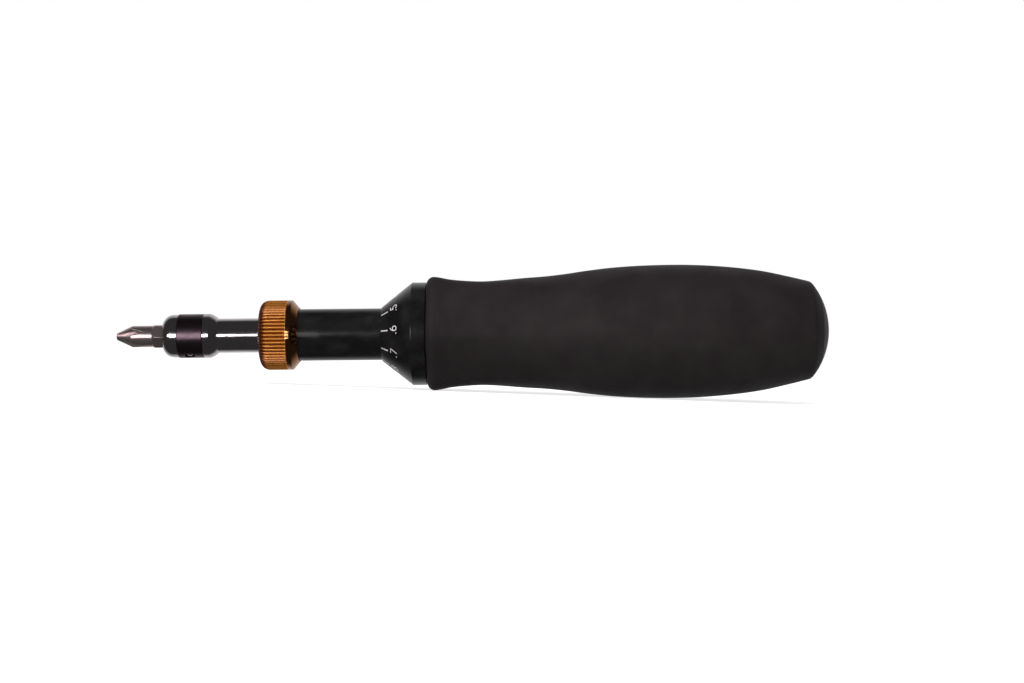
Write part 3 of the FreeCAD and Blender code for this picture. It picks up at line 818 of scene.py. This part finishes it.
@dataclass
class RubberGrip:
    """Moulded grip, six-sided in front, round in the palm and domed at the end."""

    columns: int = 192
    rows: int = 150
    corner: float = 0.34
    lip: float = 2.2 * MM
    bore_radius: float = 12.0 * MM
    cap_clearance: float = 0.15 * MM
    dome_radius: float = 22.0 * MM
    end_radius: float = 14.5 * MM
    end_edge: float = 2.6 * MM
    end_side: float = 70.0
    stations: tuple[tuple[float, float, float], ...] = (
        (0.0 * MM, 16.35 * MM, 1.0),
        (2.6 * MM, 16.4 * MM, 1.0),
        (6.7 * MM, 15.7 * MM, 0.95),
        (11.6 * MM, 15.3 * MM, 0.85),
        (16.3 * MM, 15.15 * MM, 0.7),
        (21.5 * MM, 15.45 * MM, 0.48),
        (28.0 * MM, 16.0 * MM, 0.22),
        (34.5 * MM, 16.45 * MM, 0.06),
        (40.0 * MM, 17.05 * MM, 0.0),
        (46.0 * MM, 17.9 * MM, 0.0),
        (54.0 * MM, 18.8 * MM, 0.0),
        (64.0 * MM, 19.35 * MM, 0.0),
        (76.0 * MM, 19.4 * MM, 0.0),
        (87.0 * MM, 18.75 * MM, 0.0),
        (97.0 * MM, 17.5 * MM, 0.0),
        (105.0 * MM, 15.8 * MM, 0.0),
    )

    def radius(self, half_flats: float, sixness: float, turn: float) -> float:
        """Radius of a section, a round-cornered hexagon blended towards a circle.

        Args:
            half_flats: Half the distance across the flats.
            sixness: 1 for six-sided to 0 for round.
            turn: The turn round the axis, with a corner at 0.

        Returns:
            The radius there.
        """
        corner = half_flats * self.corner
        lean = math.radians(30.0)
        lane = (half_flats - corner) / math.cos(lean)
        off = abs((turn + lean) % (2.0 * lean) - lean)
        tangent = math.atan2(corner * 0.5, lane + corner * math.cos(lean))
        if off < tangent:
            hexagonal = lane * math.cos(off) + math.sqrt(corner ** 2 - (lane * math.sin(off)) ** 2)
        else:
            hexagonal = half_flats / math.cos(lean - off)
        return half_flats + (hexagonal - half_flats) * sixness

    def ring(self, x: float, half_flats: float, sixness: float, inset: float = 0.0) -> list[Vector]:
        """Points round a section.

        Args:
            x: Place along the axis.
            half_flats: Half the distance across the flats.
            sixness: 1 for six-sided to 0 for round.
            inset: How far inside the section the points lie.

        Returns:
            The points.
        """
        turns = [FULL_TURN * i / self.columns for i in range(self.columns)]
        return [around(x, self.radius(half_flats, sixness, turn) - inset, turn) for turn in turns]

    def rear_edge(self, apex: float) -> tuple[list[Point], list[Point]]:
        """Works out the rounding at the rear and the dome behind it.

        Args:
            apex: Where the dome crosses the axis.

        Returns:
            Place and radius of the rows of the rounding, and of the dome as far as the cap.
        """
        centre = apex - self.dome_radius
        lane = self.end_radius - self.end_edge
        inner = self.dome_radius - self.end_edge
        edge_x = centre + math.sqrt(inner ** 2 - lane ** 2)
        dome_side = math.degrees(math.asin(lane / inner))
        rounding = arc((edge_x, lane), (self.end_edge, self.end_edge), self.end_side, dome_side, 8)
        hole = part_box("end_cap")[1].z + self.cap_clearance
        start = math.degrees(math.asin(rounding[-1][1] / self.dome_radius))
        end = math.degrees(math.asin(hole / self.dome_radius))
        dome = arc((centre, 0.0), (self.dome_radius, self.dome_radius), start, end, 6)
        return rounding, dome[1:]

    def build(self) -> bpy.types.Object:
        """Builds the grip over its solid's box.

        Returns:
            The grip.
        """
        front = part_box("grip")[0].x
        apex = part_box("end_cap")[1].x
        core_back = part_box("handle_core")[1].x
        rounding, dome = self.rear_edge(apex)
        side = Profile(
            [(front + s, half, six) for s, half, six in self.stations]
            + [(rounding[0][0], rounding[0][1], 0.0)]
        )
        rings = []
        _, lip_half, lip_six = self.stations[0]
        for share in (0.0, 0.35, 0.7):
            flat = [
                point.lerp(edge, share)
                for point, edge in zip(
                    self.ring(front, self.bore_radius, 0.0),
                    self.ring(front, lip_half, lip_six, self.lip),
                )
            ]
            rings.append(flat)
        for x, inset in arc((self.lip, self.lip), (-self.lip, -self.lip), 0.0, 90.0, 9):
            half, six = side.at(front + x)
            rings.append(self.ring(front + x, half, six, inset))
        start = front + self.lip
        reach = rounding[0][0] - start
        for row in range(1, self.rows):
            x = start + reach * row / self.rows
            half, six = side.at(x)
            rings.append(self.ring(x, half, six))
        rings += [self.ring(x, r, 0.0) for x, r in rounding + dome]
        hole = dome[-1][1]
        rings += [self.ring(core_back, hole, 0.0), self.ring(core_back, self.bore_radius, 0.0)]
        skin = Skin()
        skin.loops(rings, joined=True)
        made = skin.piece("rubber_grip", FINISHES[Slot.GRIP_RUBBER], sharp=60.0)
        settle(made, Body.HANDLE, Slot.GRIP_RUBBER, "grip")
        return made


@dataclass
class MainSpring:
    """Round-wire compression spring, wound at one length, though the real one shortens as the
    setting goes up.
    """

    wire_radius: float = 1.3 * MM
    turns: float = 9.0
    closed_pitch: float = 2.7 * MM
    steps: int = 40
    sides: int = 16
    travel: float = 5.8 * MM

    def height(self, share: float, length: float) -> float:
        """Finds how far along the spring the wire has come, with a closed turn at each end.

        Args:
            share: Share of the spring's turns, 0 to 1.
            length: Length of the wire's centre line along the axis.

        Returns:
            The share of the length, 0 to 1.
        """
        turn = 1.0 / self.turns
        rise = self.closed_pitch / length
        if share < turn:
            return rise * share / turn
        if share > 1.0 - turn:
            return 1.0 - rise * (1.0 - share) / turn
        return rise + (1.0 - 2.0 * rise) * (share - turn) / (1.0 - 2.0 * turn)

    def build(self) -> bpy.types.Object:
        """Winds the spring in its solid's box.

        Returns:
            The spring.
        """
        low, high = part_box("main_spring")
        coil_radius = high.z - self.wire_radius
        start, end = low.x + self.wire_radius, high.x - self.wire_radius
        count = int(self.turns * self.steps)
        path = [
            around(
                start + (end - start) * self.height(i / count, end - start),
                coil_radius, FULL_TURN * self.turns * i / count)
            for i in range(count + 1)
        ]
        rings = []
        for i, point in enumerate(path):
            run = (path[min(i + 1, count)] - path[max(i - 1, 0)]).normalized()
            out = Vector((0.0, point.y, point.z)).normalized()
            side = run.cross(out).normalized()
            out = side.cross(run)
            rings.append([
                point + self.wire_radius * (out * math.cos(a) + side * math.sin(a))
                for a in (FULL_TURN * k / self.sides for k in range(self.sides))
            ])
        skin = Skin()
        skin.loops(rings, joined=False)
        made = skin.piece("wound_spring", FINISHES[Slot.SPRING_STEEL], sharp=60.0)
        settle(made, Body.HANDLE, Slot.SPRING_STEEL, "main_spring")
        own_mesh(made)
        return made


# ---------------------------------------------------------------- engraved scales


@dataclass(frozen=True)
class EngraverDigits:
    """Single-line digits in a cell one unit high, as an engraving machine cuts them."""

    width: float = 0.56
    point_width: float = 0.12
    gap: float = 0.26

    def strokes(self, glyph: str) -> list[list[Point]]:
        """Lists the lines that make up a digit or the decimal point.

        Args:
            glyph: One character of 0 to 9 or a point.

        Returns:
            The strokes, each a list of points from the cell's lower left corner.
        """
        half = self.width / 2.0
        loop = arc((half, 0.3), (half, 0.3), 90.0, 450.0, 24)
        tail = [(0.0, 0.3), (0.01, 0.48), (0.06, 0.68), (0.17, 0.86), (0.36, 1.0)]
        shapes: dict[str, list[list[Point]]] = {
            "0": [arc((half, 0.5), (half, 0.5), 90.0, 450.0, 28)],
            "1": [[(0.1, 0.78), (0.32, 1.0), (0.32, 0.0)]],
            "2": [
                arc((half, 0.72), (half, 0.28), 165.0, -30.0, 14)
                + [(0.0, 0.0), (self.width, 0.0)]
            ],
            "3": [
                arc((half, 0.76), (0.25, 0.24), 150.0, -90.0, 14),
                arc((half, 0.26), (half, 0.26), 90.0, -150.0, 14),
            ],
            "4": [[(0.42, 0.0), (0.42, 1.0), (0.0, 0.3), (self.width, 0.3)]],
            "5": [
                [(0.5, 1.0), (0.09, 1.0), (0.04, 0.54)]
                + arc((half - 0.02, 0.31), (half + 0.02, 0.31), 130.0, -140.0, 16)
            ],
            "6": [loop, tail],
            "7": [[(0.0, 1.0), (self.width, 1.0), (0.2, 0.0)]],
            "8": [
                arc((half, 0.76), (0.23, 0.24), 90.0, 450.0, 20),
                arc((half, 0.26), (half, 0.26), 90.0, 450.0, 22),
            ],
            "9": [
                [(self.width - x, 1.0 - y) for x, y in loop],
                [(self.width - x, 1.0 - y) for x, y in tail],
            ],
            ".": [[(0.02, 0.04), (self.point_width - 0.02, 0.04)]],
        }
        return shapes[glyph]

    def text(self, words: str) -> list[list[Point]]:
        """Lays characters out in a row.

        Args:
            words: The characters.

        Returns:
            Their strokes, centred across on 0.
        """
        laid: list[list[Point]] = []
        place = 0.0
        for glyph in words:
            laid += [[(place + x, y) for x, y in stroke] for stroke in self.strokes(glyph)]
            place += (self.point_width if glyph == "." else self.width) + self.gap
        middle = (place - self.gap) / 2.0
        return [[(x - middle, y) for x, y in stroke] for stroke in laid]


@dataclass(frozen=True)
class RoundWall:
    """Cylinder or cone that marks are engraved in."""

    front: float
    back: float
    front_radius: float
    back_radius: float

    def point(self, slant: float, turn: float, proud: float) -> Vector:
        """Finds a point on the wall.

        Args:
            slant: Distance behind the wall's front, measured along the wall.
            turn: The turn round the axis.
            proud: How far outside the wall the point lies.

        Returns:
            The point.
        """
        lean = math.atan2(self.back_radius - self.front_radius, self.back - self.front)
        x = self.front + slant * math.cos(lean) - proud * math.sin(lean)
        radius = self.front_radius + slant * math.sin(lean) + proud * math.cos(lean)
        return around(x, radius, turn)

    def radius(self, slant: float) -> float:
        """Returns the wall's radius at a distance behind its front."""
        return (self.point(slant, 0.0, 0.0) * Vector((0.0, 1.0, 1.0))).length


@dataclass
class Engraving:
    """Paint-filled lines and digits on one wall."""

    wall: RoundWall
    line: float = 0.34 * MM
    proud: float = 0.02 * MM
    sunk: float = 0.05 * MM
    digits: EngraverDigits = field(default_factory=EngraverDigits)
    skin: Skin = field(default_factory=Skin)

    def stroke(
        self, path: Sequence[Point], place: Callable[[float, float, float], Vector], width: float
    ) -> None:
        """Adds one painted line, a flat bar that follows a path on the wall.

        Args:
            path: The path in the marks' own plane.
            place: Carries a point of that plane, and a height, to the wall.
            width: The line's width.
        """
        rings = []
        for i, (u, v) in enumerate(path):
            before, after = path[max(i - 1, 0)], path[min(i + 1, len(path) - 1)]
            run = Vector((after[0] - before[0], after[1] - before[1])).normalized()
            reach = 0.5 * width
            if 0 < i < len(path) - 1:
                step = Vector((after[0] - u, after[1] - v)).normalized()
                reach /= max(0.6, run.dot(step))
            side = Vector((-run.y, run.x)) * reach
            cap = run * (0.35 * width) * ((i == len(path) - 1) - (i == 0))
            left, right = Vector((u, v)) + side + cap, Vector((u, v)) - side + cap
            rings.append([
                place(left.x, left.y, self.proud),
                place(right.x, right.y, self.proud),
                place(right.x, right.y, -self.sunk),
                place(left.x, left.y, -self.sunk),
            ])
        self.skin.loops(rings, joined=False)

    def tick(self, start: float, end: float, turn: float) -> None:
        """Adds a line along the wall.

        Args:
            start: Where it starts behind the wall's front.
            end: Where it ends.
            turn: The turn round the axis.
        """
        steps = 4
        path = [(start + (end - start) * i / steps, 0.0) for i in range(steps + 1)]
        middle = self.wall.radius((start + end) / 2.0)
        self.stroke(path, lambda u, v, h: self.wall.point(u, turn + v / middle, h), self.line)

    def cross_tick(self, slant: float, turn: float, half_length: float) -> None:
        """Adds a line across the wall.

        Args:
            slant: Its place behind the wall's front.
            turn: The turn of its middle.
            half_length: Half its length.
        """
        steps = 6
        path = [(half_length * (2.0 * i / steps - 1.0), 0.0) for i in range(steps + 1)]
        radius = self.wall.radius(slant)
        self.stroke(
            path, lambda u, v, h: self.wall.point(slant + v, turn + u / radius, h), self.line)

    def label(
        self, words: str, baseline: float, turn: float, height: float, width: float = 0.3 * MM
    ) -> None:
        """Adds digits whose tops point towards the bit.

        Args:
            words: The characters.
            baseline: Place of their feet behind the wall's front.
            turn: The turn of their middle.
            height: Their height.
            width: Width of their lines.
        """
        radius = self.wall.radius(baseline - height / 2.0)
        for path in self.digits.text(words):
            scaled = [(x * height, y * height) for x, y in path]
            self.stroke(
                scaled, lambda u, v, h: self.wall.point(baseline - v, turn - u / radius, h), width)

    def build(self, name: str, body: Body) -> bpy.types.Object:
        """Makes the marks one piece on a body.

        Args:
            name: The piece's name.
            body: The body it rides on.

        Returns:
            The piece.
        """
        made = self.skin.piece(name, SCALE_PAINT, sharp=30.0)
        settle(made, body, None)
        return made


@dataclass
class TenthsScale:
    """Ten numbered ticks round the front of the cone."""

    front_radius: float = 8.0 * MM
    cone_length: float = 9.0 * MM
    chamfer: float = 0.15 * MM
    tick_start: float = 0.15 * MM
    tick_end: float = 2.5 * MM
    baseline: float = 5.9 * MM
    height: float = 2.3 * MM
    zero_turn: float = 138.0

    def build(self) -> bpy.types.Object:
        """Engraves the cone.

        Returns:
            The marks.
        """
        low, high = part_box("scale_thimble")
        wall = RoundWall(low.x + self.chamfer, low.x + self.cone_length, self.front_radius, high.z)
        marks = Engraving(wall)
        for tenth in range(10):
            turn = math.radians(self.zero_turn + 36.0 * tenth)
            marks.tick(self.tick_start, self.tick_end, turn)
            marks.label(f".{tenth}", self.baseline, turn, self.height)
        return marks.build("tenths_scale", Body.HANDLE)


@dataclass
class MainScale:
    """Index line and numbered cross lines along the far side of the barrel."""

    index_turn: float = 174.0
    pitch: float = 2.0 * MM
    line_of_three: float = 0.2 * MM
    highest: int = 6
    line_ahead: float = 3.6
    line_behind: float = 2.4
    half_tick: float = 1.5 * MM
    height: float = 1.3 * MM
    label_turn: float = 18.0

    def build(self) -> bpy.types.Object:
        """Engraves the barrel.

        Returns:
            The marks.
        """
        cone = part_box("scale_thimble")[0].x
        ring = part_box("lock_ring")[1].x
        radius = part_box("barrel")[1].z
        wall = RoundWall(ring, cone, radius, radius)
        marks = Engraving(wall, line=0.28 * MM)
        index = math.radians(self.index_turn)
        three = cone + self.line_of_three - ring
        start = three - self.line_ahead * self.pitch
        marks.tick(start, three + self.line_behind * self.pitch, index)
        for number in range(1, self.highest + 1):
            place = three - (number - 3) * self.pitch
            marks.cross_tick(place, index, self.half_tick)
            side = math.radians(self.label_turn)
            marks.label(
                str(number), place + self.height / 2.0, index + side, self.height, 0.2 * MM)
        return marks.build("main_scale", Body.BARREL)


# ---------------------------------------------------------------- studio


@dataclass(frozen=True)
class Lamp:
    """Soft rectangular lamp."""

    name: str
    place: tuple[float, float, float]
    size: Point
    power: float
    mirrored: bool = True

    def build(self, target: Vector) -> None:
        """Hangs the lamp, facing a point.

        Args:
            target: The point it faces.
        """
        data = bpy.data.lights.new(self.name, "AREA")
        data.shape = "RECTANGLE"
        data.size, data.size_y = self.size
        data.energy = self.power
        lamp = bpy.data.objects.new(self.name, data)
        lamp.location = target + Vector(self.place)
        lamp.rotation_euler = (target - lamp.location).to_track_quat("-Z", "Y").to_euler()
        lamp.visible_glossy = self.mirrored
        bpy.context.scene.collection.objects.link(lamp)


@dataclass
class Studio:
    """Pale floor, white surroundings, soft lamps and the camera."""

    lamps: tuple[Lamp, ...] = (
        Lamp("front_lamp", (-0.39, -0.90, 0.02), (0.41, 0.32), 3.6),
        Lamp("left_lamp", (-0.72, -0.70, 0.02), (0.20, 0.20), 1.2),
        Lamp("top_lamp", (-0.10, -0.45, 0.90), (0.9, 0.5), 5.0, mirrored=False),
    )
    ambient: float = 0.34
    mirror_from: Point = (0.3, 0.9)
    mirror_to: Point = (0.03, 0.62)
    floor_colour: Colour = (0.88, 0.88, 0.88)
    floor_glow: float = 0.7
    floor_size: float = 3.0
    contact_split: float = 40.0 * MM
    lens: float = 70.0
    distance: float = 0.582
    yaw: float = 0.5
    roll: float = 0.55
    aim: tuple[float, float, float] = (0.01162, 0.0, -0.00250)

    def resting_line(self, grip: bpy.types.Object) -> tuple[float, float, float]:
        """Finds the straight line under the grip that it rests on.

        Args:
            grip: The grip's solid.

        Returns:
            Place and height of the front contact, and the line's slope.
        """
        points = [(v.co.x, v.co.z) for v in grip.data.vertices]
        first = min(x for x, _ in points)
        middle = first + self.contact_split
        front = min((p for p in points if p[0] < middle), key=lambda p: p[1])
        slope = 0.0
        for _ in range(4):
            rear = min(
                (p for p in points if p[0] > middle),
                key=lambda p: (p[1] - front[1]) / (p[0] - front[0]))
            slope = (rear[1] - front[1]) / (rear[0] - front[0])
            front = min(
                (p for p in points if p[0] < middle), key=lambda p: p[1] - slope * p[0])
        return front[0], front[1], slope

    def floor(self, grip: bpy.types.Object) -> None:
        """Lays the floor under the two places where the tool rests.

        Args:
            grip: The grip's solid.
        """
        x, z, slope = self.resting_line(grip)
        half = self.floor_size / 2.0
        corners = [(-half, -half), (half, -half), (half, half), (-half, half)]
        mesh = bpy.data.meshes.new("floor")
        mesh.from_pydata([(x + u, v, z + slope * u) for u, v in corners], [], [(0, 1, 2, 3)])
        graph = ShaderGraph("pale_floor")
        seen = graph.add("ShaderNodeLightPath").outputs["Is Camera Ray"]
        graph.surface(
            Base_Color=self.floor_colour,
            Roughness=0.9,
            Specular_IOR_Level=0.0,
            Emission_Color=(1.0, 1.0, 1.0),
            Emission_Strength=graph.calc("MULTIPLY", seen, self.floor_glow),
        )
        mesh.materials.append(graph.material)
        made = bpy.data.objects.new("floor", mesh)
        made.visible_glossy = False
        bpy.context.scene.collection.objects.link(made)
        made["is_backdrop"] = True

    def surroundings(self) -> None:
        """Makes the world: white behind the tool, dark towards the near side in reflections."""
        world = bpy.data.worlds.new("surroundings")
        bpy.context.scene.world = world
        world.use_nodes = True
        tree = world.node_tree
        background = tree.nodes["Background"]
        direction = tree.nodes.new("ShaderNodeTexCoord")
        parts = tree.nodes.new("ShaderNodeSeparateXYZ")
        tree.links.new(direction.outputs["Generated"], parts.inputs[0])
        mirrored = tree.nodes.new("ShaderNodeMapRange")
        mirrored.interpolation_type = "SMOOTHSTEP"
        tree.links.new(parts.outputs["Y"], mirrored.inputs["Value"])
        ranges = (*self.mirror_from, *self.mirror_to)
        for key, value in zip(("From Min", "From Max", "To Min", "To Max"), ranges):
            mirrored.inputs[key].default_value = value
        path = tree.nodes.new("ShaderNodeLightPath")
        shiny = tree.nodes.new("ShaderNodeMath")
        shiny.operation = "MAXIMUM"
        tree.links.new(path.outputs["Is Glossy Ray"], shiny.inputs[0])
        tree.links.new(path.outputs["Is Transmission Ray"], shiny.inputs[1])
        lit = self.choice(tree, shiny.outputs[0], self.ambient, mirrored.outputs["Result"])
        shown = self.choice(tree, path.outputs["Is Camera Ray"], lit, 1.0)
        background.inputs["Color"].default_value = (1.0, 1.0, 1.0, 1.0)
        tree.links.new(shown, background.inputs["Strength"])

    @staticmethod
    def choice(
        tree: bpy.types.NodeTree, share: Socket, first: Socket | float, second: Socket | float
    ) -> Socket:
        """Blends two values in the world's tree.

        Args:
            tree: The world's node tree.
            share: 0 for the first value, 1 for the second.
            first: A number or a socket.
            second: A number or a socket.

        Returns:
            The blended value.
        """
        node = tree.nodes.new("ShaderNodeMix")
        for key, value in ((0, share), (2, first), (3, second)):
            if isinstance(value, bpy.types.NodeSocket):
                tree.links.new(value, node.inputs[key])
            else:
                node.inputs[key].default_value = value
        return node.outputs[0]

    def camera(self, centre: Vector) -> None:
        """Sets the camera up level with the tool, on its near side.

        Args:
            centre: The middle of the tool.
        """
        target = centre + Vector(self.aim)
        yaw = math.radians(self.yaw)
        data = bpy.data.cameras.new("camera")
        data.lens = self.lens
        data.clip_start = 0.01
        camera = bpy.data.objects.new("camera", data)
        camera.location = target + self.distance * Vector((math.sin(yaw), -math.cos(yaw), 0.0))
        turned = (target - camera.location).to_track_quat("-Z", "Y").to_matrix().to_4x4()
        roll = Matrix.Rotation(math.radians(-self.roll), 4, "Z")
        camera.rotation_euler = (turned @ roll).to_euler()
        bpy.context.scene.collection.objects.link(camera)
        bpy.context.scene.camera = camera

    def build(self, grip: bpy.types.Object) -> None:
        """Sets up the whole studio round the tool.

        Args:
            grip: The grip's solid, which the tool rests on.
        """
        low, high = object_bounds()
        centre = (low + high) / 2.0
        centre.y = centre.z = 0.0
        self.floor(grip)
        self.surroundings()
        for lamp in self.lamps:
            lamp.build(centre)
        self.camera(centre)
        bpy.context.scene.view_settings.view_transform = "Standard"
        log.info("studio: %d lamps", len(self.lamps))


def main() -> None:
    """Builds and dresses the whole tool, and sets up the studio round it."""
    logging.basicConfig(level=logging.INFO, format="%(name)s %(message)s")
    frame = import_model()
    SolidPieces(frame["nodes"], frame["record"]).dress()
    LockingRing().build()
    RubberGrip().build()
    MainSpring().build()
    TenthsScale().build()
    MainScale().build()
    Studio().build(frame["nodes"]["grip"])


if __name__ == "__main__":
    main()
